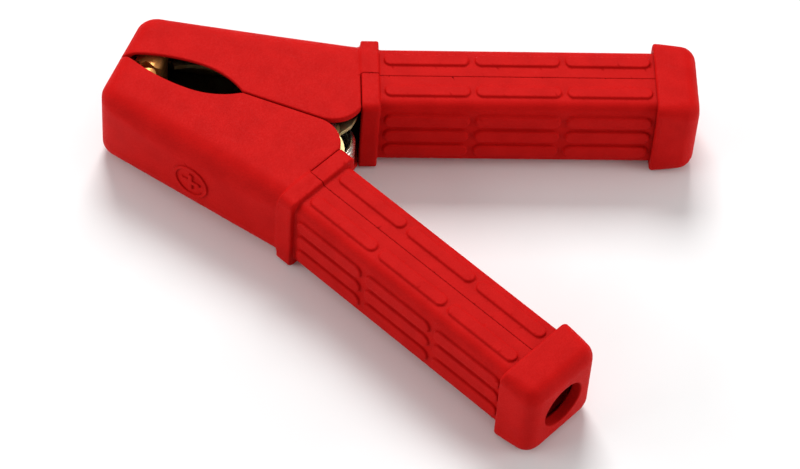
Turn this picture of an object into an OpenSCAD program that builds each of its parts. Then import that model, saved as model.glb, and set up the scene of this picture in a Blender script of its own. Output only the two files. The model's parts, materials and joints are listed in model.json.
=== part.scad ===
// Fully insulated, spring-closed clip for a battery or test lead.
// Two handled arms turn on one pivot pin; a torsion spring holds the toothed jaws shut.
//
// Frame: millimetres, origin at the centre of the closed clip's box, +Z along the pivot pin, -X towards
// the nose, +Y towards the upper arm. The clip lies on its side, with the jaws meeting at Y = 0.
// Every shape is drawn about the pivot in the upper arm's pose. The lower arm is that pose mirrored
// across Y = 0, and place() then moves the whole clip from the pivot to the centre of its box.

/* [Arms] */
// angle between each grip and the clip's centre line
grip_angle = 22.5; // [18:0.5:26]
// distance from the pivot to each grip's centre line
grip_offset = 17.5; // [15:0.5:22]

/* [Jaw hood] */
// distance from the pivot to the nose
nose_x = 65.5; // [50:0.5:80]
// half height of the hood 50 mm in front of the pivot
hood_h = 21.6; // [16:0.1:26]
// rise of the hood's outer side towards the handle
hood_slope = 13; // [8:0.5:18]
// thickness of the hood across its flat sides
hood_w = 28.4; // [20:0.1:36]
// moulded wall of the hood
hood_wall = 2.1; // [1.5:0.1:3]
// radius of the hood's long outer edges
hood_edge_r = 5; // [3:0.5:8]
// radius of the nose corner seen from the side
nose_r = 7; // [4:0.5:10]
// gap between the two hoods where they meet
part_gap = 0.5; // [0.2:0.1:1.5]
// height of each half of the lens-shaped mouth
mouth_h = 5; // [3:0.1:8]
// radius of the rounded rear corner of each hood
lobe_r = 9.5; // [7:0.5:12]

/* [Grip] */
// distance along the grip from the pivot's level to the flange
flange_u = 10.7; // [8:0.1:14]
// thickness of the flange along the grip
flange_l = 5.4; // [3:0.1:8]
// flange size in the plane of the arms
flange_w = 26.6; // [22:0.2:32]
// flange size along the pin
flange_t = 29.2; // [24:0.2:34]
// grip body size in the plane of the arms, without its ribs
grip_w = 22.8; // [18:0.2:26]
// grip body size along the pin, without its pads
grip_t = 26.6; // [22:0.2:30]
// free length of grip between flange and end cap
grip_l = 82; // [60:1:100]
// moulded wall of the grip
grip_wall = 2.2; // [1.5:0.1:3]
// radius of the grip's long edges
grip_r = 2.8; // [1:0.1:4]
// how far the pads stand off the broad faces
pad_rise = 0.7; // [0.3:0.1:1.5]
// how far the ribs stand off the narrow faces
rib_rise = 0.9; // [0.3:0.1:1.5]
// length of one pad or rib
pad_l = 25.2; // [15:0.1:30]
// distance from one pad or rib to the next
pad_pitch = 27; // [18:0.1:32]
// width of a pad
pad_w = 4; // [2:0.1:6]
// distance of each row of pads from the seam
pad_row = 5.9; // [4:0.1:8]
// width of a rib
rib_w = 5; // [3:0.1:7]
// spacing of the ribs along the pin
rib_pitch = 6.7; // [5:0.1:9]

/* [End caps] */
// length of an end cap
cap_l = 13; // [11:0.5:16]
// end cap size in the plane of the arms
cap_w = 28.2; // [22:0.2:32]
// end cap size along the pin
cap_t = 29.4; // [24:0.2:34]
// radius of the cap's domed end
cap_dome_r = 4; // [2:0.1:6]
// diameter of the cable entry
cable_d = 15; // [10:0.1:18]

/* [Metal] */
// sheet thickness of the steel arms
sheet = 1.5; // [1:0.1:2.5]
// outside width of the lower steel arm
lower_w = 21; // [18:0.2:23]
// outside width of the upper steel arm
upper_w = 17; // [13:0.2:18]
// radius of the rounded ears at the pivot
ear_r = 4.2; // [4:0.1:5]
// diameter of the pivot pin
pin_d = 4.5; // [3.5:0.1:5]
// wire diameter of the torsion spring
wire_d = 2.2; // [1.5:0.1:3]
// middle radius of the spring's coils
coil_r = 8; // [6:0.1:9]
// full turns of the spring
coil_turns = 4; // [2:1:6]
// pitch of the teeth along the jaw
tooth_pitch = 2.4; // [1.5:0.1:4]
// depth of the teeth
tooth_h = 1.3; // [0.6:0.1:2]

/* [Hidden] */

red = [0.80, 0.09, 0.08];
zinc = [0.80, 0.72, 0.45];
copper = [0.80, 0.45, 0.28];
steel = [0.72, 0.73, 0.75];

hood_z = hood_w / 2;
grip_u = flange_u + flange_l;
cap_u = grip_u + grip_l;
seam = 0.08;                       // half of the seam between outer and inner shells
mouth_front = -nose_x + 1.5;       // front end of the lens-shaped mouth
mouth_top = -41;                   // where the mouth is highest
mouth_back = -26;                  // rear end of the mouth
lobe_x = -1.6;
cavity_z = hood_z - hood_wall;
grip_in_w = grip_w / 2 - grip_wall;
grip_in_z = grip_t / 2 - grip_wall;
lower_z = lower_w / 2;
upper_z = upper_w / 2;
rivet_r = 1.6;
rivet = [-57.3, 11];               // place of the rivet that holds a copper contact
sign_x = -31.5;
sign_r = 6.1;
screw_u = 60;

// Height of the hood's outer line above the centre line at distance x.
function hood_y(x) = hood_h + (x + 50) * tan(hood_slope);
// From the grip's own axes (u along it, v outward) to the plane of the arms.
function uv(u, v) = [
    u * cos(grip_angle) - (grip_offset + v) * sin(grip_angle),
    u * sin(grip_angle) + (grip_offset + v) * cos(grip_angle)
];

// Middle of the box between the nose and the farthest point of an end cap.
mid_x = (uv(cap_u + cap_l - cap_dome_r, cap_dome_r - cap_w / 2)[0] + cap_dome_r - nose_x) / 2;

module place() { translate([-mid_x, 0, 0]) children(); }
module in_grip() { rotate([0, 0, grip_angle]) translate([0, grip_offset, 0]) children(); }
module lower() { mirror([0, 1, 0]) children(); }

// Square with round corners, centred.
module round_rect(w, h, r) {
    square([w - 2 * r, h], center = true);
    square([w, h - 2 * r], center = true);
    for (x = [-1, 1], y = [-1, 1]) translate([x * (w / 2 - r), y * (h / 2 - r)]) circle(r = r, $fn = 48);
}

// Bar with a rounded section, from u0 to u1 along the grip.
module grip_bar(u0, u1, w, t, r) {
    translate([u0, 0, 0]) rotate([90, 0, 90]) linear_extrude(u1 - u0) round_rect(w, t, r);
}

// ---------------------------------------------------------------- hood

// Points on an arc from angle a0 to a1 in n steps.
function arc(c, r, a0, a1, n) = [for (i = [0:n]) let (a = a0 + (a1 - a0) * i / n) c + r * [cos(a), sin(a)]];

// Nose corner, tangent to the nose line and to the hood's outer line.
function nose_corner(k) = let (r = nose_r - k, x0 = -nose_x + k, cx = x0 + r)
    arc([cx, hood_y(x0) - k / cos(hood_slope) - (r - r * sin(hood_slope)) / cos(hood_slope)],
        r, 180, 90 + hood_slope, 14);

// One side of the lens-shaped mouth, from x0 to x1, with its top at mouth_top.
function lip(x0, x1, n) = let (c = max(abs(x0 - mouth_top), abs(x1 - mouth_top)),
        h = mouth_h, r = (c * c + h * h) / (2 * h))
    [for (i = [0:n]) let (x = x0 + (x1 - x0) * i / n)
        [x, max(part_gap / 2, h - r + sqrt(r * r - (x - mouth_top) * (x - mouth_top)))]];

lobe_c = [lobe_x, part_gap / 2 + lobe_r];
lobe_u = lobe_c[0] * cos(grip_angle) + lobe_c[1] * sin(grip_angle);
front_u = flange_u - 0.15;         // where the hood's side plates stop short of the inner flange half
lobe_end = grip_angle - acos((front_u - lobe_u) / lobe_r);

// Outline of the upper hood's side plates in the plane of the arms.
module hood_plan() {
    polygon(concat(
        [[-nose_x, part_gap / 2]], nose_corner(0),
        [[2, hood_y(2)], uv(flange_u + 2, 8), uv(flange_u + 2, 0.5), uv(front_u, 0.5)],
        arc(lobe_c, lobe_r, lobe_end, -90, 16),
        lip(mouth_back, mouth_top, 12), lip(mouth_top, mouth_front, 16)
    ));
}

// The hollow between the side plates, k inside the outline and open towards the other arm.
module hollow_plan(k) {
    polygon(concat(
        [[-nose_x + k, -2]], nose_corner(k),
        [[2, hood_y(2) - k / cos(hood_slope)], uv(flange_u + 2, 7.5), uv(flange_u + 2, -14), [14, -2]]
    ));
}

// Hood section with rounded long edges, carried along the outer line.
module hood_section(k) {
    r = hood_edge_r - k;
    translate([-nose_x, hood_y(-nose_x), 0]) rotate([0, 0, hood_slope]) translate([-30, -k, 0])
        rotate([90, 0, 90]) linear_extrude(140) translate([-45, 0]) {
            square([90 - 2 * r, hood_w - 2 * k], center = true);
            translate([45 - r, 0]) square([2 * r, hood_w - 2 * k - 2 * r], center = true);
            for (z = [-1, 1]) translate([45 - r, z * (hood_z - k - r)]) circle(r = r, $fn = 64);
        }
}

// Nose section with rounded edges, carried across the hood.
module nose_section(k) {
    r = 4 - k / 2;
    translate([-nose_x + k, 0, 0]) rotate([90, 0, 0]) translate([0, 0, -60]) linear_extrude(120) {
        translate([r, -hood_z + k]) square([120, hood_w - 2 * k]);
        translate([0, -hood_z + k + r]) square([2 * r, hood_w - 2 * k - 2 * r]);
        for (z = [-1, 1]) translate([r, z * (hood_z - k - r)]) circle(r = r, $fn = 48);
    }
}

module hood() {
    difference() {
        intersection() {
            translate([0, 0, -hood_z]) linear_extrude(hood_w) hood_plan();
            hood_section(0);
            nose_section(0);
        }
        intersection() {
            translate([0, 0, -cavity_z]) linear_extrude(2 * cavity_z) hollow_plan(hood_wall);
            hood_section(hood_wall);
            nose_section(hood_wall);
        }
    }
}

// ---------------------------------------------------------------- grip

// Flange, grip body, pads and ribs as one solid, before it is hollowed and split.
module grip_solid() {
    difference() {
        grip_bar(flange_u, grip_u, flange_w, flange_t, 1.5);
        // chamfered outer corners of the flange
        for (z = [-1, 1]) translate([flange_u - 1, flange_w / 2, z * flange_t / 2])
            rotate([45, 0, 0]) cube([flange_l + 2, 2, 2], center = false);
    }
    grip_bar(grip_u - 0.01, cap_u + 1, grip_w, grip_t, grip_r);
    grip_bar(cap_u, cap_u + 7.5, grip_w - 1.2, grip_t - 2.4, 2);
    for (i = [0:2]) {
        u0 = grip_u + 1.6 + i * pad_pitch;
        for (z = [-1, 1], v = [-1, 1])
            translate([u0 + pad_l / 2, v * pad_row, z * (grip_t / 2 + pad_rise / 2 - 0.25)])
                linear_extrude(pad_rise + 0.5, center = true) round_rect(pad_l, pad_w, 1.6);
        for (v = [-1, 1], k = [-1:1])
            translate([u0 + pad_l / 2, v * (grip_w / 2 + rib_rise / 2 - 0.25), k * rib_pitch])
                rotate([90, 0, 0]) linear_extrude(rib_rise + 0.5, center = true)
                    round_rect(pad_l, rib_w, 2.2);
    }
}

module grip_hollow() {
    translate([flange_u - 1, -grip_in_w, -grip_in_z])
        cube([flange_l + grip_l + 10, 2 * grip_in_w, 2 * grip_in_z]);
}

// Half of the grip: side = 1 keeps the outer half, side = -1 the inner half.
module grip_half(side) {
    intersection() {
        difference() {
            grip_solid();
            grip_hollow();
        }
        translate([flange_u - 1, side > 0 ? seam : -40, -40]) cube([140, 40 - seam, 80]);
    }
}

// Plus sign in a ring, moulded proud on the hood's outer side.
module polarity_sign() {
    translate([sign_x, hood_y(sign_x), 0]) rotate([0, 0, hood_slope]) rotate([-90, 0, 0]) {
        difference() {
            translate([0, 0, -0.4]) cylinder(r = sign_r, h = 0.9, $fn = 64);
            translate([0, 0, -1]) cylinder(r = sign_r - 1.1, h = 3, $fn = 64);
        }
        for (a = [0, 90]) rotate([0, 0, a]) translate([0, 0, 0.05]) cube([6.4, 1.4, 0.9], center = true);
    }
}

module outer_shell() {
    difference() {
        union() {
            hood();
            in_grip() grip_half(1);
        }
        in_grip() grip_hollow();
    }
}

module lower_outer_shell() {
    outer_shell();
    polarity_sign();
}

module inner_shell() {
    in_grip() grip_half(-1);
}

module end_cap(open) {
    in_grip() difference() {
        intersection() {
            grip_bar(cap_u, cap_u + cap_l, cap_w, cap_t, 3);
            // rounded shoulders in both directions
            translate([cap_u, 0, 0]) rotate([90, 0, 0]) linear_extrude(60, center = true) shoulder(cap_t);
            translate([cap_u, 0, 0]) linear_extrude(60, center = true) shoulder(cap_w);
        }
        // cup that fits over the grip's reduced tail
        grip_bar(cap_u - 1, cap_u + 1.05, grip_w + 0.1, grip_t + 0.1, grip_r + 0.05);
        grip_bar(cap_u, cap_u + cap_l - 3.4, grip_w - 1.1, grip_t - 2.3, 2.05);
        if (open) translate([cap_u, 0, 0]) rotate([0, 90, 0]) cylinder(d = cable_d, h = cap_l + 1, $fn = 96);
    }
}

// Profile of the cap along the grip: small radius at the front rim, large radius at the end.
module shoulder(w) {
    r1 = 1.2;
    r2 = cap_dome_r;
    translate([r1, -w / 2]) square([cap_l - r1 - r2, w]);
    translate([0, -w / 2 + r1]) square([r1 + 1, w - 2 * r1]);
    translate([cap_l - r2 - 1, -w / 2 + r2]) square([r2 + 1, w - 2 * r2]);
    for (s = [-1, 1]) {
        translate([r1, s * (w / 2 - r1)]) circle(r = r1, $fn = 32);
        translate([cap_l - r2, s * (w / 2 - r2)]) circle(r = r2, $fn = 64);
    }
}

// ---------------------------------------------------------------- metal

// Outer line of a steel arm inside the hood, inset k from its own outside.
function arm_y(x, k) = hood_y(x) - (hood_wall + 1.1 + k) / cos(hood_slope);

// Front edge of an arm's cheeks between handle and ear: the lower arm's follows the hood's round corner.
upper_front = [[6.6, 9], [6.3, 5.2], [4.6, 1.8]];
lower_front = arc(lobe_c, lobe_r + 1.2, -18, -57, 12);

// Outline of a steel arm: jaw with its hollow, handle and the round ear at the pivot.
module arm_plan(front) {
    polygon(concat(
        [[-58.5, 7], [-58.5, arm_y(-58.5, 0)], [-4, arm_y(-4, 0)], uv(10, 8.5), uv(14, 8.3),
         uv(grip_u + 70, 8.3), uv(grip_u + 70, -5.5), uv(20, -5.5), uv(10.3, -8.2)],
        front, arc([0, 0], ear_r, 9, -190, 36),
        [[-16, 2.5], [-24, 5.5], [-31, 8.6], [-40, 9.5], [-46.4, 7.8], [-50.3, 5.3], [-51.8, 6.6]]
    ));
}

// Everything nearer the centre line than the web, so that cutting it leaves web and cheeks.
module arm_inside(k) {
    polygon([
        [-70, -20], [-70, arm_y(-70, k)], [-4.3, arm_y(-4.3, k)], uv(9.8, 8.5 - k), uv(14, 8.3 - k),
        uv(grip_u + 75, 8.3 - k), uv(grip_u + 75, -30), [0, -20]
    ]);
}

module steel_arm(z, front) {
    difference() {
        translate([0, 0, -z]) linear_extrude(2 * z) arm_plan(front);
        translate([0, 0, -z + sheet]) linear_extrude(2 * (z - sheet)) arm_inside(sheet);
        translate([0, 0, -20]) cylinder(d = pin_d + (z < lower_z ? 0.1 : 0), h = 40, $fn = 64);
        rivet_hole();
    }
}

module rivet_hole() { translate([rivet[0], rivet[1], -20]) cylinder(r = rivet_r, h = 40, $fn = 32); }

// The lower arm also carries the lead's terminal screw.
module lower_steel_arm() {
    difference() {
        lower() steel_arm(lower_z, lower_front);
        on_web() translate([0, 0, -5]) cylinder(r = 2.5, h = 10, $fn = 48);
    }
}

// Copper contact: a toothed shoe over the tip of a steel jaw 2 * z wide, with rounded shoulders.
contact_x = [-61.5, -53];
contact_z = 11.8;
module copper_jaw(z) {
    y0 = 0.3;
    r = 2.9;
    back = contact_x[1];
    n = floor((back - contact_x[0] - 3) / tooth_pitch);
    teeth = [for (i = [0:n - 1]) for (s = [0, 1])
        [contact_x[0] + (i + s / 2) * tooth_pitch, y0 + s * tooth_h]];
    side = concat([[contact_x[0] - 1, 9.6], [-58.9, 11.2]], arc([back - r, contact_z - r], r, 105, 0, 10));
    difference() {
        intersection() {
            translate([0, 0, -contact_z]) linear_extrude(2 * contact_z) polygon(concat(
                teeth, arc([back - 2, y0 + 2], 2, -75, 0, 6),
                [[back, 13], [back - 1.5, 14.6], [-57.5, arm_y(-57.5, sheet + 0.15)], [-60.6, 11]]
            ));
            rotate([90, 0, 0]) translate([0, 0, -30]) linear_extrude(60) polygon(concat(
                side, [for (i = [len(side) - 1:-1:0]) [side[i][0], -side[i][1]]]
            ));
        }
        // slot that takes the steel jaw
        translate([-58.7, 6.5, -z - 0.08]) cube([20, 20, 2 * z + 0.16]);
        rivet_hole();
    }
}

// Flush rivet through the contact and the steel jaw.
module jaw_rivet() {
    translate([rivet[0], rivet[1], 0])
        cylinder(r = rivet_r, h = 2 * contact_z + 0.2, center = true, $fn = 32);
}

module pivot_pin() {
    rotate_extrude($fn = 96) polygon([
        [0, -lower_z - 1.4], [pin_d / 2, -lower_z - 1.4], [pin_d / 2 + 1, -lower_z - 0.9],
        [pin_d / 2 + 1.3, -lower_z], [pin_d / 2, -lower_z], [pin_d / 2, lower_z + 0.8],
        [pin_d / 2 - 0.3, lower_z + 1], [0, lower_z + 1]
    ]);
}

module pivot_burr() {
    difference() {
        translate([0, 0, lower_z]) cylinder(r = pin_d / 2 + 0.8, h = 0.6, $fn = 64);
        translate([0, 0, lower_z - 1]) cylinder(d = pin_d, h = 3, $fn = 64);
    }
}

module cheek_washers() {
    t = lower_z - sheet - upper_z;
    for (s = [0, 1]) mirror([0, 0, s]) translate([0, 0, upper_z + 0.03]) difference() {
        cylinder(r = 4, h = t - 0.06, $fn = 64);
        translate([0, 0, -1]) cylinder(d = pin_d + 0.1, h = 3, $fn = 64);
    }
}

module spring_sleeve() {
    h = 2 * (upper_z - sheet) - 0.2;
    difference() {
        cylinder(r = 4.4, h = h, center = true, $fn = 64);
        cylinder(d = pin_d + 0.1, h = h + 2, center = true, $fn = 64);
    }
}

// Wire swept along a path of points: rings of equal size joined into one closed skin.
spring_sides = 10;
leg_tilt = grip_angle + 19;          // direction of each leg from the clip's centre line
leg_l = 48.5;
coil_a0 = -(leg_tilt + 90);
coil_a1 = leg_tilt + 90 - 360 * (coil_turns + 1);
spring_h = 2.42 * (coil_a0 - coil_a1) / 360;
function leg_tip(s) = [coil_r * cos(leg_tilt + 90) + leg_l * cos(leg_tilt),
    s * (coil_r * sin(leg_tilt + 90) + leg_l * sin(leg_tilt)), s * spring_h / 2];
wire_path = let (steps = 24 * coil_turns) concat(
    [leg_tip(-1)],
    [for (i = [0:steps]) let (a = coil_a0 + (coil_a1 - coil_a0) * i / steps)
        [coil_r * cos(a), coil_r * sin(a), -spring_h / 2 + spring_h * i / steps]],
    [leg_tip(1)]);

module torsion_spring() {
    path = wire_path;
    n = len(path);
    tang = [for (i = [0:n - 1]) let (d = path[min(i + 1, n - 1)] - path[max(i - 1, 0)]) d / norm(d)];
    pts = [for (i = [0:n - 1]) for (k = [0:spring_sides - 1])
        let (t = tang[i], s0 = cross(t, [0, 0, 1]), s = s0 / norm(s0), b = cross(s, t),
            a = 360 * k / spring_sides)
            path[i] + wire_d / 2 * (cos(a) * s + sin(a) * b)];
    side = [for (i = [0:n - 2]) for (k = [0:spring_sides - 1])
        let (a = i * spring_sides + k, b = i * spring_sides + (k + 1) % spring_sides)
            [a, b, b + spring_sides, a + spring_sides]];
    ends = [[for (k = [spring_sides - 1:-1:0]) k],
            [for (k = [0:spring_sides - 1]) (n - 1) * spring_sides + k]];
    polyhedron(pts, concat(side, ends), convexity = 10);
}

// ---------------------------------------------------------------- lead terminal

// The lead's ring terminal is clamped between the washer and the nut on the lower arm's web.
module on_web() { lower() in_grip() translate([screw_u, 8.3 - sheet, 0]) rotate([90, 0, 0]) children(); }

module terminal_screw() {
    on_web() difference() {
        union() {
            translate([0, 0, -sheet + 0.1]) cylinder(r = 2.5, h = 7, $fn = 48);
            translate([0, 0, 4.2]) cylinder(r = 4.5, h = 2.6, $fn = 64);
        }
        translate([0, 0, 6.8]) cube([12, 1.2, 3], center = true);
    }
}

module terminal_washer() {
    on_web() translate([0, 0, 3.2]) difference() {
        cylinder(r = 5, h = 1, $fn = 64);
        translate([0, 0, -1]) cylinder(r = 2.6, h = 3, $fn = 48);
    }
}

module terminal_nut() {
    on_web() difference() {
        cylinder(r = 4.6, h = 3.2, $fn = 6);
        translate([0, 0, -1]) cylinder(r = 2.5, h = 6, $fn = 48);
    }
}

// ---------------------------------------------------------------- nodes

color(red) place() lower() lower_outer_shell();
color(red * 0.9) place() lower() inner_shell();  // lower_inner_shell
color(red * 0.8) place() lower() end_cap(true);  // lower_end_cap
color(zinc) place() lower_steel_arm();
color(copper) place() lower() copper_jaw(lower_z);  // lower_copper_jaw
color(steel) place() lower() jaw_rivet();  // lower_jaw_rivet
color(red) place() outer_shell();  // upper_outer_shell
color(red * 0.9) place() inner_shell();  // upper_inner_shell
color(red * 0.8) place() end_cap(false);  // upper_end_cap
color(zinc) place() steel_arm(upper_z, upper_front);  // upper_steel_arm
color(copper) place() copper_jaw(upper_z);  // upper_copper_jaw
color(steel) place() jaw_rivet();  // upper_jaw_rivet
color(steel) place() pivot_pin();
color(steel) place() pivot_burr();
color(steel) place() cheek_washers();
color(steel) place() spring_sleeve();
color(steel) place() torsion_spring();
color(steel) place() terminal_screw();
color(steel) place() terminal_washer();
color(steel) place() terminal_nut();
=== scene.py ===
"""Looks of the insulated spring clip: moulded red shells, plated metal, studio light and camera."""
import json
import math

import bpy
import numpy as np
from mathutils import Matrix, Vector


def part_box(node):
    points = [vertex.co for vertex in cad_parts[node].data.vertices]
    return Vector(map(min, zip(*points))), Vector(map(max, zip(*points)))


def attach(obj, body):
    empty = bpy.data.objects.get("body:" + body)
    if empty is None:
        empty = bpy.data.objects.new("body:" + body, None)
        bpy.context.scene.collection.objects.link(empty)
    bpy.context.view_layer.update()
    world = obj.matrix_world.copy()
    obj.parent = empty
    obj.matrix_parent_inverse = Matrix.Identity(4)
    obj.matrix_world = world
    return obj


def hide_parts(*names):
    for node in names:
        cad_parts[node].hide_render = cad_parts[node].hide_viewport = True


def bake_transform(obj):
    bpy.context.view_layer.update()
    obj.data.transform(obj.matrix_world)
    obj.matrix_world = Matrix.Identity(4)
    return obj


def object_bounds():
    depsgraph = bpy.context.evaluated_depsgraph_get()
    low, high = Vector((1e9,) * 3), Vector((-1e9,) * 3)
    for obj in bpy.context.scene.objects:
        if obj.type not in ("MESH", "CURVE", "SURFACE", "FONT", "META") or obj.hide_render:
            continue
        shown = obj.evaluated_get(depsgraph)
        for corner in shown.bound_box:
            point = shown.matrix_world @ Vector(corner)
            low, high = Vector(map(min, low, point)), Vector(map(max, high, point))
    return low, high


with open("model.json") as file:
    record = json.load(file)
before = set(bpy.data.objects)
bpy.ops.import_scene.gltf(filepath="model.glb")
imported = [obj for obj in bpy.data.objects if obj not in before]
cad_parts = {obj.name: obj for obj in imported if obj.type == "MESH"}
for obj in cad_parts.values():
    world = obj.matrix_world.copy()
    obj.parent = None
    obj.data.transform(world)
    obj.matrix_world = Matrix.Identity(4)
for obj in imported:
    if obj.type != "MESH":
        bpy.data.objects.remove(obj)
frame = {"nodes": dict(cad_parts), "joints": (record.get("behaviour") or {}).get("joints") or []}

import openvdb
from mathutils import Matrix, Vector

CAD_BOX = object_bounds()
MM = 0.001
PIVOT = np.array(frame["joints"][0]["pos_m"])

# ------------------------------------------------------------------ sizes in mm, drawn about the pivot
# Shapes are drawn for the upper arm: x towards the handles, y out from the centre line, z along the pin.
# On a grip, u runs along it, v across it and z stays.
TILT = math.radians(22.5)          # grip against the clip's centre line
OFFSET = 17.5                      # pivot to a grip's centre line

# Hood over the jaws
SLOPE = math.radians(13)           # rise of the hood's outer side
NOSE_X = float((PIVOT[0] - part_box("upper_outer_shell")[0].x) / MM)
HOOD_H, HOOD_REF = 20.9, -50.0     # half height of the hood at a station in front of the pivot
BULGE = 1.3                        # how far the outer side swells in its middle
HOOD_Z, WALL = 14.2, 2.1           # half width over both flat sides, wall
HOOD_ROUND, HOOD_SWELL = 4.6, 3.2  # radius of the long edges at the ends, what the middle adds to it
NOSE_R, NOSE_RAISE = 7.0, 0.4      # corner between nose and outer side, its height over the sloping line
GAP = 0.5                          # between the two hoods
PARTING_EDGE, RIM_EDGE = 0.45, 0.3 # rounding outside and inside along the parting line
MOUTH_H = 5.0                      # half height of the mouth
MOUTH = (-NOSE_X + 1.5, -41.0, -26.0)            # its front end, highest point and back end along x
LIP_X, LIP_THIN = -44.5, 1.0       # middle of the thinner lip, what is taken off its wall
LOBE_R, LOBE_X = 9.5, -1.6         # rounded back end of the hood

# Flange, grip and end cap
FLANGE_U, FLANGE_L = 10.7, 5.4
FLANGE_W, FLANGE_T = 26.6, 29.2
FLANGE_R, FLANGE_EDGE, FLANGE_FILLET = 2.1, 0.55, 0.5
GRIP_U, GRIP_L = FLANGE_U + FLANGE_L, 82.0
GRIP_W, GRIP_T, GRIP_R = 22.8, 26.6, 3.0
HOOD_FILLET = 1.1                  # between the hood and the flange
HOLLOW_V, HOLLOW_Z = 9.2, 11.1     # half sizes of the grip's hollow
SEAM, SEAM_EDGE = 0.05, 0.12       # half the gap between outer and inner shell, its rounding
PAD_L, PAD_W, PAD_PITCH, PAD_ROW = 25.2, 4.0, 27.0, 5.9
PAD_RISE, PAD_R, PAD_EDGE, PAD_FILLET = 0.7, 1.9, 0.45, 0.35
PAD_START = 1.6                    # flange to the first pad
RIB_W, RIB_PITCH = 5.0, 6.7
RIB_RISE, RIB_R, RIB_EDGE, RIB_FILLET = 0.95, 2.3, 0.55, 0.4
ROOT = 1.5                         # how deep a pad or rib is set into the grip
TAIL_W, TAIL_T, TAIL_L, TAIL_R = GRIP_W - 1.2, GRIP_T - 2.4, 7.5, 2.0   # thinner end inside the cap
CAP_U, CAP_L = GRIP_U + GRIP_L, 13.0
CAP_W, CAP_T = 28.2, float(2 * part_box("upper_end_cap")[1].z / MM)
CAP_WALL, CAP_LAP = 3.4, 1.05      # end wall, how far the full grip runs into the cap
CAP_DRAFT, CAP_R, CAP_R_GAIN = 0.9, 3.0, 2.2     # loss of width and gain of corner radius towards the end
CAP_EDGE, CAP_DOME = 0.9, 4.2      # rounding of the open edge and of the end
FIT = 0.1                          # cap over grip, on the whole width
CABLE_R, CABLE_EDGE = 7.5, 0.35

# Plus in a ring on the lower hood
SIGN_X, SIGN_R, SIGN_LINE = -31.5, 6.1, 1.1
PLUS_L, PLUS_W, PLUS_R = 6.4, 1.4, 0.4
SIGN_RISE, SIGN_ROOT, SIGN_EDGE, SIGN_FILLET = 0.55, 0.8, 0.2, 0.15
INNER_EDGE, CAP_INNER_EDGE = 0.25, 0.15          # rounding at the rims of the grip's and the cap's hollow


def hood_y(x):
    """Height of the hood's outer side at x."""
    t = min(max((x + NOSE_X) / (NOSE_X + 2), 0), 1)
    return HOOD_H + (x - HOOD_REF) * math.tan(SLOPE) + BULGE * 4 * t * (1 - t)


def uv(u, v):
    """Point of the plan given on the grip's own axes."""
    return (u * math.cos(TILT) - (OFFSET + v) * math.sin(TILT),
            u * math.sin(TILT) + (OFFSET + v) * math.cos(TILT))


def arc(c, r, a0, a1, n):
    a = np.radians(np.linspace(a0, a1, n + 1))
    return [(c[0] + r * math.cos(t), c[1] + r * math.sin(t)) for t in a]


def nose_corner(k):
    """The corner between the nose and the outer side, k inside it."""
    r, x0 = NOSE_R - k, -NOSE_X + k
    y0 = HOOD_H + (x0 - HOOD_REF) * math.tan(SLOPE) + NOSE_RAISE
    return arc((x0 + r, y0 - k / math.cos(SLOPE) - (r - r * math.sin(SLOPE)) / math.cos(SLOPE)),
               r, 180, 92 + math.degrees(SLOPE), 20)


def outer_line(k):
    """The hood's swelling outer side, k inside it."""
    return [(x, hood_y(x) - k / math.cos(SLOPE)) for x in np.linspace(-58, 2, 30)]


def lip(x0, x1, n):
    """Edge of the mouth from x0 to x1, an arc that ends on the parting line."""
    c, h = max(abs(x0 - MOUTH[1]), abs(x1 - MOUTH[1])), MOUTH_H
    r = (c * c + h * h) / (2 * h)
    xs = np.linspace(x0, x1, n + 1)
    return [(x, max(GAP / 2, h - r + math.sqrt(r * r - (x - MOUTH[1]) ** 2))) for x in xs]


# ------------------------------------------------------------------ distance fields
class Plan:
    """Signed distance to a polygon in the plane of the arms, kept on a fine lattice."""
    STEP = 0.2

    def __init__(self, points):
        self.lo = np.array([-72.0, -8.0])
        n = np.array([900, 460])
        xs = self.lo[0] + self.STEP * np.arange(n[0])
        ys = self.lo[1] + self.STEP * np.arange(n[1])
        px, py = np.meshgrid(xs, ys, indexing="ij")
        best = np.full(px.shape, 1e9)
        inside = np.zeros(px.shape, bool)
        for (ax, ay), (bx, by) in zip(points, points[1:] + points[:1]):
            ex, ey = bx - ax, by - ay
            if ex * ex + ey * ey < 1e-12:
                continue
            wx, wy = px - ax, py - ay
            t = np.clip((wx * ex + wy * ey) / (ex * ex + ey * ey), 0, 1)
            best = np.minimum(best, (wx - t * ex) ** 2 + (wy - t * ey) ** 2)
            if ey != 0:
                cross = ((ay > py) != (by > py)) & (px < ex * (py - ay) / ey + ax)
                inside ^= cross
        self.d = np.where(inside, -1, 1) * np.sqrt(best)

    def __call__(self, x, y):
        fx = np.clip((x - self.lo[0]) / self.STEP, 0, self.d.shape[0] - 1.001)
        fy = np.clip((y - self.lo[1]) / self.STEP, 0, self.d.shape[1] - 1.001)
        i, j = fx.astype(int), fy.astype(int)
        a, b = fx - i, fy - j
        d = self.d
        return ((d[i, j] * (1 - a) + d[i + 1, j] * a) * (1 - b)
                + (d[i, j + 1] * (1 - a) + d[i + 1, j + 1] * a) * b)


def both(a, b, r):
    """What a and b share, with an outer edge of radius r."""
    p, q = a + r, b + r
    return np.minimum(np.maximum(p, q), 0) + np.hypot(np.maximum(p, 0), np.maximum(q, 0)) - r


def either(a, b, r):
    """a and b joined, with a fillet of radius r."""
    return -both(-a, -b, r)


def less(a, b, r):
    """a without b, with an edge of radius r."""
    return both(a, -b, r)


def rect(p, q, w, h, r):
    """Rectangle w by h with corner radius r, centred."""
    a, b = np.abs(p) - w / 2 + r, np.abs(q) - h / 2 + r
    return np.minimum(np.maximum(a, b), 0) + np.hypot(np.maximum(a, 0), np.maximum(b, 0)) - r


def ramp(x, a, b):
    """Smooth step from 0 at a to 1 at b."""
    t = np.clip((x - a) / (b - a), 0, 1)
    return t * t * (3 - 2 * t)


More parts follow.
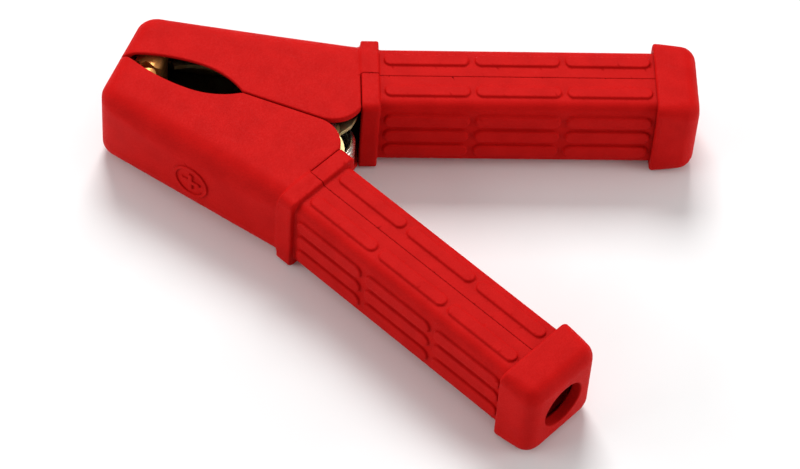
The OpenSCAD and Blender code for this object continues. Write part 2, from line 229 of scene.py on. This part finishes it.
LOBE_C = (LOBE_X, GAP / 2 + LOBE_R)
FRONT_U = FLANGE_U - 0.15
LOBE_END = math.degrees(TILT) - math.degrees(
    math.acos((FRONT_U - LOBE_C[0] * math.cos(TILT) - LOBE_C[1] * math.sin(TILT)) / LOBE_R))

OUTSIDE = Plan(nose_corner(0) + outer_line(0) + [(80, hood_y(80)), (80, -40), (-NOSE_X, -40)])
PARTING = Plan([(-90, GAP / 2), (-90, 75), (40, 75), uv(FLANGE_U + 2, 12), uv(FLANGE_U + 2, 0.5),
                uv(FRONT_U, 0.5)] + arc(LOBE_C, LOBE_R, LOBE_END, -90, 30)
               + lip(MOUTH[2], MOUTH[1], 20) + lip(MOUTH[1], MOUTH[0], 26))
HOLLOW = Plan(nose_corner(WALL) + outer_line(WALL)
              + [uv(FLANGE_U + 2, 7.5), uv(FLANGE_U + 2, -14), (14, -8), (-NOSE_X + WALL, -8)])


def hood(x, y, z):
    """Hollow cover over one jaw."""
    az = np.abs(z)
    r = HOOD_ROUND + HOOD_SWELL * np.sin(np.pi * np.clip((x + NOSE_X) / (NOSE_X + 6), 0, 1)) ** 0.8
    parting = PARTING(x, y)
    plate = both(both(OUTSIDE(x, y), az - HOOD_Z, r), parting, PARTING_EDGE)
    thin = LIP_THIN * ramp(-parting, 4.0, 0.6) * ramp(np.abs(x - LIP_X), 20, 17)
    room = both(HOLLOW(x, y), az - (HOOD_Z - WALL + thin), np.maximum(r - WALL, 0.5))
    return less(plate, room, RIM_EDGE)


def grip_axes(x, y):
    """Places along and across the grip."""
    c, s = math.cos(TILT), math.sin(TILT)
    return x * c + y * s, -x * s + y * c - OFFSET


def bay(u):
    """Distance along the grip from the middle of the nearest of the three bays."""
    first = GRIP_U + PAD_START + PAD_L / 2
    k = np.clip(np.round((u - first) / PAD_PITCH), 0, 2)
    return u - first - k * PAD_PITCH


def grip(u, v, z):
    """Flange, grip with its pads and ribs, and tail, all solid."""
    az, av = np.abs(z), np.abs(v)
    body = np.maximum(rect(v, z, GRIP_W, GRIP_T, GRIP_R), np.maximum(GRIP_U - 1 - u, u - CAP_U - 1))
    b = bay(u)
    pads = both(rect(b, av - PAD_ROW, PAD_L, PAD_W, PAD_R), az - GRIP_T / 2 - PAD_RISE, PAD_EDGE)
    pads = np.maximum(pads, GRIP_T / 2 - ROOT - az)
    zr = z - np.clip(np.round(z / RIB_PITCH), -1, 1) * RIB_PITCH
    ribs = both(rect(b, zr, PAD_L, RIB_W, RIB_R), av - GRIP_W / 2 - RIB_RISE, RIB_EDGE)
    ribs = np.maximum(ribs, GRIP_W / 2 - ROOT - av)
    body = either(either(body, pads, PAD_FILLET), ribs, RIB_FILLET)
    flange = both(rect(v, z, FLANGE_W, FLANGE_T, FLANGE_R),
                  np.abs(u - FLANGE_U - FLANGE_L / 2) - FLANGE_L / 2, FLANGE_EDGE)
    tail = np.maximum(rect(v, z, TAIL_W, TAIL_T, TAIL_R), np.maximum(CAP_U - 1 - u, u - CAP_U - TAIL_L))
    return np.minimum(either(flange, body, FLANGE_FILLET), tail)


def grip_room(u, v, z):
    return np.maximum(rect(v, z, 2 * HOLLOW_V, 2 * HOLLOW_Z, 0.6),
                      np.maximum(FLANGE_U - 1 - u, u - CAP_U - 9))


def outer_shell(x, y, z):
    """Hood with the outer half of the flange and grip."""
    u, v = grip_axes(x, y)
    half = both(grip(u, v, z), SEAM - v, SEAM_EDGE)
    return less(either(hood(x, y, z), half, HOOD_FILLET), grip_room(u, v, z), INNER_EDGE)


def signed_shell(x, y, z):
    """Outer shell with the plus in a ring that marks the polarity."""
    c, s = math.cos(SLOPE), math.sin(SLOPE)
    a = (x - SIGN_X) * c + (y - hood_y(SIGN_X)) * s
    n = -(x - SIGN_X) * s + (y - hood_y(SIGN_X)) * c
    ring = np.abs(np.hypot(a, z) - SIGN_R + SIGN_LINE / 2) - SIGN_LINE / 2
    plus = np.minimum(rect(a, z, PLUS_L, PLUS_W, PLUS_R), rect(a, z, PLUS_W, PLUS_L, PLUS_R))
    mark = np.maximum(both(np.minimum(ring, plus), n - SIGN_RISE, SIGN_EDGE), -SIGN_ROOT - n)
    return either(outer_shell(x, y, z), mark, SIGN_FILLET)


def inner_shell(x, y, z):
    """Inner half of the flange and grip."""
    u, v = grip_axes(x, y)
    return less(both(grip(u, v, z), SEAM + v, SEAM_EDGE), grip_room(u, v, z), INNER_EDGE)


def end_cap(x, y, z, bored):
    """Cap over the grip's tail, with the cable entry in its end if bored."""
    u, v = grip_axes(x, y)
    t = np.clip((u - CAP_U) / CAP_L, 0, 1)
    pull = CAP_DRAFT * t * t
    side = rect(v, z, CAP_W - pull, CAP_T - pull, CAP_R + CAP_R_GAIN * t)
    d = both(both(side, CAP_U - u, CAP_EDGE), u - CAP_U - CAP_L, CAP_DOME)
    seat = np.maximum(rect(v, z, GRIP_W + FIT, GRIP_T + FIT, GRIP_R), u - CAP_U - CAP_LAP)
    room = np.maximum(rect(v, z, TAIL_W + FIT, TAIL_T + FIT, TAIL_R + FIT / 2), u - CAP_U - CAP_L + CAP_WALL)
    d = less(less(d, seat, CAP_INNER_EDGE), room, CAP_INNER_EDGE)
    if bored:
        d = less(d, np.hypot(v, z) - CABLE_R, CABLE_EDGE)
    return d


def skin(field, lo, hi, step=0.3):
    """Vertices and faces of the surface where the field is zero, pulled exactly onto it."""
    block = 4
    lo = np.array(lo, float) - 2 * step
    size = np.ceil((np.array(hi, float) + 2 * step - lo) / step / block).astype(int)
    centres = [lo[k] + step * (np.arange(size[k]) * block + (block - 1) / 2) for k in range(3)]
    cx, cy, cz = np.meshgrid(*centres, indexing="ij")
    coarse = field(cx.ravel(), cy.ravel(), cz.ravel()).reshape(cx.shape)
    near = np.argwhere(np.abs(coarse) < step * (block * 0.9 + 3))
    band = 3 * step
    values = np.repeat(np.repeat(np.repeat(np.clip(coarse, -band, band), block, 0), block, 1), block, 2)
    offs = np.stack(np.meshgrid(*[np.arange(block)] * 3, indexing="ij"), -1).reshape(-1, 3)
    for part in np.array_split(near, max(1, len(near) // 8000)):
        idx = (part[:, None, :] * block + offs[None]).reshape(-1, 3)
        p = lo + step * idx
        values[idx[:, 0], idx[:, 1], idx[:, 2]] = np.clip(field(p[:, 0], p[:, 1], p[:, 2]), -band, band)
    grid = openvdb.FloatGrid(band)
    grid.copyFromArray(values.astype(np.float32))
    pts, tris, quads = grid.convertToPolygons(isovalue=0.0, adaptivity=0.05)
    p = lo + step * np.asarray(pts, float)
    for _ in range(3):
        d, g = slope(field, p)
        p = p - np.clip(d, -step, step)[:, None] * g
    return p, np.asarray(tris), np.asarray(quads)


def slope(field, p, e=0.02):
    """Field value and unit gradient at the points p."""
    d = field(p[:, 0], p[:, 1], p[:, 2])
    g = np.stack([field(*(p + e * np.eye(3)[k]).T) - field(*(p - e * np.eye(3)[k]).T) for k in range(3)], 1)
    return d, g / np.maximum(np.linalg.norm(g, axis=1, keepdims=True), 1e-9)


# ------------------------------------------------------------------ materials
class Nodes:
    """Short names for building a material's node tree."""

    def __init__(self, name):
        self.mat = bpy.data.materials.new(name)
        self.mat.use_nodes = True
        self.tree = self.mat.node_tree
        self.out = self.tree.nodes["Principled BSDF"]
        self.coord = self.add("ShaderNodeTexCoord").outputs["Object"]

    def add(self, kind, **inputs):
        n = self.tree.nodes.new(kind)
        for key, value in inputs.items():
            self.put(n.inputs[key], value)
        return n

    def put(self, socket, value):
        if isinstance(value, bpy.types.NodeSocket):
            self.tree.links.new(value, socket)
        else:
            socket.default_value = value

    def noise(self, size_mm, detail=2.0, rough=0.5, stretch=(1, 1, 1)):
        """Noise whose features are about size_mm across."""
        place = self.add("ShaderNodeMapping", Vector=self.coord, Scale=stretch)
        n = self.add("ShaderNodeTexNoise", Vector=place.outputs[0], Scale=1 / (size_mm * MM),
                     Detail=detail, Roughness=rough)
        return n.outputs["Fac"]

    def band(self, value, lo, hi, out_lo=0.0, out_hi=1.0):
        n = self.add("ShaderNodeMapRange", Value=value)
        for key, v in (("From Min", lo), ("From Max", hi), ("To Min", out_lo), ("To Max", out_hi)):
            n.inputs[key].default_value = v
        return n.outputs[0]

    def mix(self, fac, a, b):
        n = self.tree.nodes.new("ShaderNodeMix")
        n.data_type = "RGBA"
        self.put(n.inputs["Factor"], fac)
        for k, c in ((6, a), (7, b)):
            self.put(n.inputs[k], c if isinstance(c, bpy.types.NodeSocket) else (*c, 1))
        return n.outputs[2]

    def math(self, op, a, b=0.0):
        n = self.tree.nodes.new("ShaderNodeMath")
        n.operation = op
        self.put(n.inputs[0], a)
        self.put(n.inputs[1], b)
        return n.outputs[0]

    def cavity(self, reach_mm, inside=False):
        n = self.add("ShaderNodeAmbientOcclusion", Distance=reach_mm * MM)
        n.samples = 6
        n.inside = inside
        return n.outputs["AO"]

    def bump(self, height, depth_mm, strength=1.0, under=None):
        n = self.add("ShaderNodeBump", Height=height, Strength=strength, Distance=depth_mm * MM)
        if under is not None:
            self.put(n.inputs["Normal"], under)
        return n.outputs[0]

    def finish(self, **inputs):
        for key, value in inputs.items():
            self.put(self.out.inputs[key.replace("_", " ")], value)
        return self.mat


def red_plastic(name, dark, light):
    """Moulded insulation: fine eroded grain, slight mottling, painted shade in the grooves, rubbed edges."""
    m = Nodes(name)
    mottle = m.band(m.noise(7, 3), 0.35, 0.65)
    grain = m.noise(0.36, 2, 0.6)
    colour = m.mix(mottle, dark, light)
    colour = m.mix(m.band(grain, 0.35, 0.7, 0, 0.24), colour, tuple(0.62 * c for c in dark))
    # painted shade: ambient occlusion darkens the red in grooves and crevices, where shade falls
    painted_crevice_shade = m.band(m.cavity(1.6), 0.35, 0.85, 0.45, 0.0)
    colour = m.mix(painted_crevice_shade, colour, tuple(0.34 * c for c in dark))
    patches = m.band(m.noise(1.8, 3), 0.45, 0.7, 0, 0.35)
    rubbed = m.math("MULTIPLY", m.band(m.cavity(0.5, True), 0.62, 0.2), patches)
    colour = m.mix(rubbed, colour, (min(1, light[0] * 1.25), light[1] * 4, light[2] * 4))
    scuff = m.noise(1.1, 4, 0.6, stretch=(0.12, 1, 1))
    rough = m.math("ADD", m.band(grain, 0.3, 0.7, 0.52, 0.72), m.band(scuff, 0.6, 0.75, 0.0, -0.10))
    low = m.bump(m.noise(5.5, 2), 0.05)
    normal = m.bump(grain, 0.10, 0.8, m.bump(scuff, 0.012, 0.5, low))
    return m.finish(Base_Color=colour, Roughness=rough, Specular_IOR_Level=0.05, Normal=normal)


def yellow_zinc(name):
    """Pressed sheet with yellow passivated zinc plate: pale gold with faint green and rose drifts, painted
    shade in its hollows, painted near-black deep inside the clip.
    """
    m = Nodes(name)
    drift = m.noise(6, 3, 0.6)
    colour = m.mix(m.band(drift, 0.35, 0.65), (0.52, 0.38, 0.15), (0.60, 0.52, 0.29))
    colour = m.mix(m.band(m.noise(3.1, 2), 0.55, 0.75, 0, 0.45), colour, (0.62, 0.66, 0.38))
    colour = m.mix(m.band(m.noise(4.3, 2), 0.6, 0.8, 0, 0.4), colour, (0.80, 0.48, 0.34))
    # painted shade: ambient occlusion darkens the plate in its hollows
    colour = m.mix(m.band(m.cavity(1.2), 0.3, 0.8, 0.5, 0), colour, (0.20, 0.15, 0.07))
    # painted shade: a 30 mm ambient occlusion reach turns the metal near-black deep inside the clip, where
    # little light reaches
    colour = m.mix(m.band(m.cavity(30), 0.20, 0.40, 1.0, 0), colour, (0.008, 0.009, 0.007))
    lines = m.noise(0.5, 3, 0.6, stretch=(0.06, 1, 1))
    return m.finish(Base_Color=colour, Metallic=1.0, Roughness=m.band(lines, 0.3, 0.7, 0.50, 0.66),
                    Normal=m.bump(lines, 0.012, 0.5, m.bump(m.noise(3.5, 2), 0.05, 0.5)))


def copper_plate(name):
    """Copper contact strip: warm, tarnished in patches, bright where it has rubbed, painted shade in its
    hollows.
    """
    m = Nodes(name)
    patch = m.band(m.noise(3.2, 4, 0.65), 0.42, 0.68)
    colour = m.mix(patch, (0.92, 0.44, 0.13), (0.62, 0.24, 0.08))
    # painted shade: ambient occlusion darkens the copper in its hollows
    colour = m.mix(m.band(m.cavity(1.0), 0.3, 0.8, 0.55, 0), colour, (0.13, 0.06, 0.035))
    colour = m.mix(m.band(m.cavity(0.45, True), 0.6, 0.2, 0, 0.6), colour, (0.95, 0.56, 0.24))
    lines = m.noise(0.4, 3, 0.6, stretch=(0.08, 1, 1))
    rough = m.math("ADD", m.band(lines, 0.3, 0.7, 0.40, 0.52), m.math("MULTIPLY", patch, 0.16))
    return m.finish(Base_Color=colour, Metallic=1.0, Roughness=rough, Normal=m.bump(lines, 0.012, 0.5))


def bright_steel(name, base, rough_lo, rough_hi, stretch):
    """Bright plated steel with drawing or turning marks and painted shade in its hollows."""
    m = Nodes(name)
    lines = m.noise(0.28, 3, 0.6, stretch=stretch)
    colour = m.mix(m.band(m.noise(2.6, 3), 0.4, 0.7), base, tuple(0.86 * c for c in base))
    # painted shade: ambient occlusion darkens the steel in its hollows
    colour = m.mix(m.band(m.cavity(0.9), 0.3, 0.8, 0.5, 0), colour, (0.09, 0.085, 0.08))
    return m.finish(Base_Color=colour, Metallic=1.0, Roughness=m.band(lines, 0.3, 0.7, rough_lo, rough_hi),
                    Normal=m.bump(lines, 0.01, 0.4))


RED = red_plastic("moulded_red", (0.530, 0.0050, 0.0042), (0.590, 0.0065, 0.0055))
ZINC = yellow_zinc("yellow_zinc")
COPPER = copper_plate("copper_plate")
STEEL = bright_steel("plain_steel", (0.66, 0.67, 0.69), 0.22, 0.38, (1, 1, 0.15))
WIRE = bright_steel("spring_wire", (0.80, 0.76, 0.66), 0.18, 0.34, (1, 1, 0.3))


# ------------------------------------------------------------------ pieces
def moulded(name, field, lo, hi, body, node, flip=False):
    """Mesh of a distance field in the row frame, riding on a body in place of its CAD node."""
    p, tris, quads = skin(field, lo, hi)
    _, g = slope(field, p)
    faces = [list(map(int, f)) for f in tris] + [list(map(int, f)) for f in quads]
    a, b, c = (p[quads[:, k]] for k in range(3))
    outward = np.einsum("ij,ij->i", np.cross(b - a, c - a), g[quads[:, 0]]).sum() > 0
    if flip:
        p, g = p * (1, -1, 1), g * (1, -1, 1)
    if outward == flip:
        faces = [f[::-1] for f in faces]
    mesh = bpy.data.meshes.new(name)
    mesh.from_pydata((p * MM + PIVOT).tolist(), [], faces)
    mesh.shade_smooth()
    mesh.normals_split_custom_set_from_vertices(g.tolist())
    mesh.materials.append(RED)
    obj = bpy.data.objects.new(name, mesh)
    bpy.context.scene.collection.objects.link(obj)
    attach(obj, body)
    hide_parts(node)
    return obj


SHELL_BOX = ((-66, -1, -15), (99, 71, 15))
GRIP_BOX = ((0, 0, -15), (98, 66, 15))
CAP_BOX = ((74, 40, -15), (101, 71, 15))
moulded("moulded_upper_outer", outer_shell, *SHELL_BOX, "upper_arm", "upper_outer_shell")
moulded("moulded_lower_outer", signed_shell, *SHELL_BOX, "lower_arm", "lower_outer_shell", flip=True)
moulded("moulded_upper_inner", inner_shell, *GRIP_BOX, "upper_arm", "upper_inner_shell")
moulded("moulded_lower_inner", inner_shell, *GRIP_BOX, "lower_arm", "lower_inner_shell", flip=True)
moulded("moulded_upper_cap", lambda x, y, z: end_cap(x, y, z, False), *CAP_BOX, "upper_arm", "upper_end_cap")
moulded("moulded_lower_cap", lambda x, y, z: end_cap(x, y, z, True), *CAP_BOX, "lower_arm", "lower_end_cap",
        flip=True)


# Torsion spring: one drawn wire, coiled round the sleeve, with a leg out along each handle.
WIRE_R, COIL_R, COIL_PITCH, TURNS = 1.1, 8.0, 2.42, 5
LEG_TILT, LEG_L = math.radians(41), 48.5
ROOT_ANGLE = LEG_TILT + math.pi / 2        # where a leg leaves the coil
COIL_FROM, COIL_TO = -ROOT_ANGLE, ROOT_ANGLE - 2 * math.pi * TURNS
COIL_H = COIL_PITCH * (COIL_FROM - COIL_TO) / (2 * math.pi)
COIL_STEPS, LEG_STEPS, WIRE_SIDES = 256, 12, 16
END_CHAMFER, END_SHARE = 0.25, 0.8         # length of the chamfer at a wire's end, share of the radius left


def leg(s, t):
    """Point at share t from a leg's tip to the coil. s is -1 for the lower arm's leg and 1 for the upper's."""
    k = LEG_L * (1 - t)
    return (COIL_R * math.cos(ROOT_ANGLE) + k * math.cos(LEG_TILT),
            s * (COIL_R * math.sin(ROOT_ANGLE) + k * math.sin(LEG_TILT)), s * COIL_H / 2)


def wire_mesh():
    """Vertices and faces of the spring."""
    shares = np.linspace(0, 0.97, LEG_STEPS)
    path = [leg(-1, t) for t in shares]
    for i in range(COIL_STEPS + 1):
        a = COIL_FROM + (COIL_TO - COIL_FROM) * i / COIL_STEPS
        path.append((COIL_R * math.cos(a), COIL_R * math.sin(a), -COIL_H / 2 + COIL_H * i / COIL_STEPS))
    path = np.array(path + [leg(1, t) for t in shares[::-1]])
    tang = np.gradient(path, axis=0)
    tang /= np.linalg.norm(tang, axis=1, keepdims=True)
    side = np.cross(tang, (0, 0, 1))
    side /= np.linalg.norm(side, axis=1, keepdims=True)
    lift = np.cross(side, tang)
    ring = [(math.cos(2 * math.pi * k / WIRE_SIDES), math.sin(2 * math.pi * k / WIRE_SIDES))
            for k in range(WIRE_SIDES)]

    def hoop(i, r, along=0.0):
        """Points round the wire at path point i."""
        return [path[i] + along * tang[i] + r * (c * side[i] + d * lift[i]) for c, d in ring]

    def strip(a, b):
        """Faces between the hoops whose first points are a and b."""
        pairs = [(k, (k + 1) % WIRE_SIDES) for k in range(WIRE_SIDES)]
        return [(a + k, a + j, b + j, b + k) for k, j in pairs]

    last = len(path) - 1
    verts = [v for i in range(last + 1) for v in hoop(i, WIRE_R)]
    faces = [f for i in range(last) for f in strip(i * WIRE_SIDES, (i + 1) * WIRE_SIDES)]
    for i, out in ((0, -1), (last, 1)):        # sheared ends with a small chamfer
        base = len(verts)
        verts += hoop(i, END_SHARE * WIRE_R, out * END_CHAMFER)
        end = strip(i * WIRE_SIDES, base) + [tuple(base + k for k in range(WIRE_SIDES))]
        faces += end if out > 0 else [f[::-1] for f in end]
    return np.array(verts), faces


verts, faces = wire_mesh()
wire = bpy.data.meshes.new("coiled_spring")
wire.from_pydata((verts * MM + PIVOT).tolist(), [], faces)
wire.shade_smooth()
wire.materials.append(WIRE)
spring = bpy.data.objects.new("coiled_spring", wire)
bpy.context.scene.collection.objects.link(spring)
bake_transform(spring)
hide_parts("torsion_spring")

# CAD metal keeps its shape, with broken edges and its own finish.
FINISH = {"steel_arm": ZINC, "copper_jaw": COPPER}
for node, obj in frame["nodes"].items():
    if obj.hide_render:
        continue
    finish = next((m for key, m in FINISH.items() if node.endswith(key)), STEEL)
    obj.data.materials.clear()
    obj.data.materials.append(finish)
    edge = obj.modifiers.new("broken_edges", "BEVEL")
    edge.width = (0.22 if finish is not STEEL else 0.15) * MM
    edge.segments = 2
    edge.limit_method = "ANGLE"
    edge.angle_limit = math.radians(38)


# ------------------------------------------------------------------ floor, light, camera

def area_light(name, spot, aim, size, power, colour=(1, 1, 1)):
    data = bpy.data.lights.new(name, "AREA")
    data.shape = "RECTANGLE"
    data.size, data.size_y = size
    data.energy = power
    data.color = colour
    lamp = bpy.data.objects.new(name, data)
    lamp.location = spot
    lamp.rotation_euler = (Vector(aim) - Vector(spot)).to_track_quat("-Z", "Y").to_euler()
    bpy.context.scene.collection.objects.link(lamp)
    return lamp


FLOOR_HALF = 4.0                           # m, half the sheet's side
FLOOR_GAP = 0.02                           # mm left under the lowest point


def plain_floor():
    """Pale flat sheet just under the clip; seen from below it lets the clip show through."""
    m = Nodes("pale_floor")
    tone = m.mix(m.band(m.noise(40, 2), 0.4, 0.6), (0.93, 0.93, 0.93), (0.95, 0.95, 0.95))
    underneath = m.add("ShaderNodeNewGeometry").outputs["Backfacing"]
    m.finish(Base_Color=tone, Roughness=0.9, Specular_IOR_Level=0.1,
             Alpha=m.math("SUBTRACT", 1.0, underneath), Normal=m.bump(m.noise(0.8, 2), 0.02, 0.3))
    low = min(CAD_BOX[0].z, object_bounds()[0][2]) - FLOOR_GAP * MM
    mesh = bpy.data.meshes.new("floor_sheet")
    mesh.from_pydata([(x * FLOOR_HALF, y * FLOOR_HALF, low) for x, y in ((-1, -1), (1, -1), (1, 1), (-1, 1))],
                     [], [(0, 1, 2, 3)])
    mesh.materials.append(m.mat)
    floor = bpy.data.objects.new("floor_sheet", mesh)
    bpy.context.scene.collection.objects.link(floor)


plain_floor()
area_light("key", (-0.35, 0.75, 0.95), (0, 0, 0), (0.55, 0.55), 13)
area_light("fill_left", (-0.80, -0.55, 0.40), (0, 0, 0), (0.7, 0.6), 3.7)
area_light("fill_right", (0.90, 0.15, 0.30), (0, 0, 0), (0.5, 0.5), 2.8)
area_light("overhead", (0.1, 0.1, 1.2), (0, 0, 0), (1.0, 1.0), 1.6)

world = bpy.data.worlds.new("studio")
bpy.context.scene.world = world
world.use_nodes = True
world.node_tree.nodes["Background"].inputs[0].default_value = (1, 1, 1, 1)
world.node_tree.nodes["Background"].inputs[1].default_value = 0.30
bpy.context.scene.view_settings.view_transform = "Standard"

# Camera at the photograph's viewing angle, with the frame drawn in round the one clip.
CAMERA_AT = (223.2, -631.2, 838.6)         # from the pivot, in mm
TURN, PITCH, ROLL = 17.39, 52.66, 4.61     # degrees: round +Z from +Y, down from level, about the view line
LENS = 163.4
az, el, roll = (math.radians(a) for a in (TURN, PITCH, ROLL))
ahead = Vector((-math.sin(az) * math.cos(el), math.cos(az) * math.cos(el), -math.sin(el)))
level = Vector((math.cos(az), math.sin(az), 0))
above = level.cross(ahead)
right = math.cos(roll) * level + math.sin(roll) * above
up = math.cos(roll) * above - math.sin(roll) * level
cam_data = bpy.data.cameras.new("camera")
cam_data.sensor_width = 36
cam_data.lens = LENS
cam_data.clip_start, cam_data.clip_end = 0.05, 10
camera = bpy.data.objects.new("camera", cam_data)
camera.matrix_world = Matrix((
    (right.x, up.x, -ahead.x, PIVOT[0] + CAMERA_AT[0] * MM),
    (right.y, up.y, -ahead.y, PIVOT[1] + CAMERA_AT[1] * MM),
    (right.z, up.z, -ahead.z, PIVOT[2] + CAMERA_AT[2] * MM),
    (0, 0, 0, 1)))
bpy.context.scene.collection.objects.link(camera)
bpy.context.scene.camera = camera
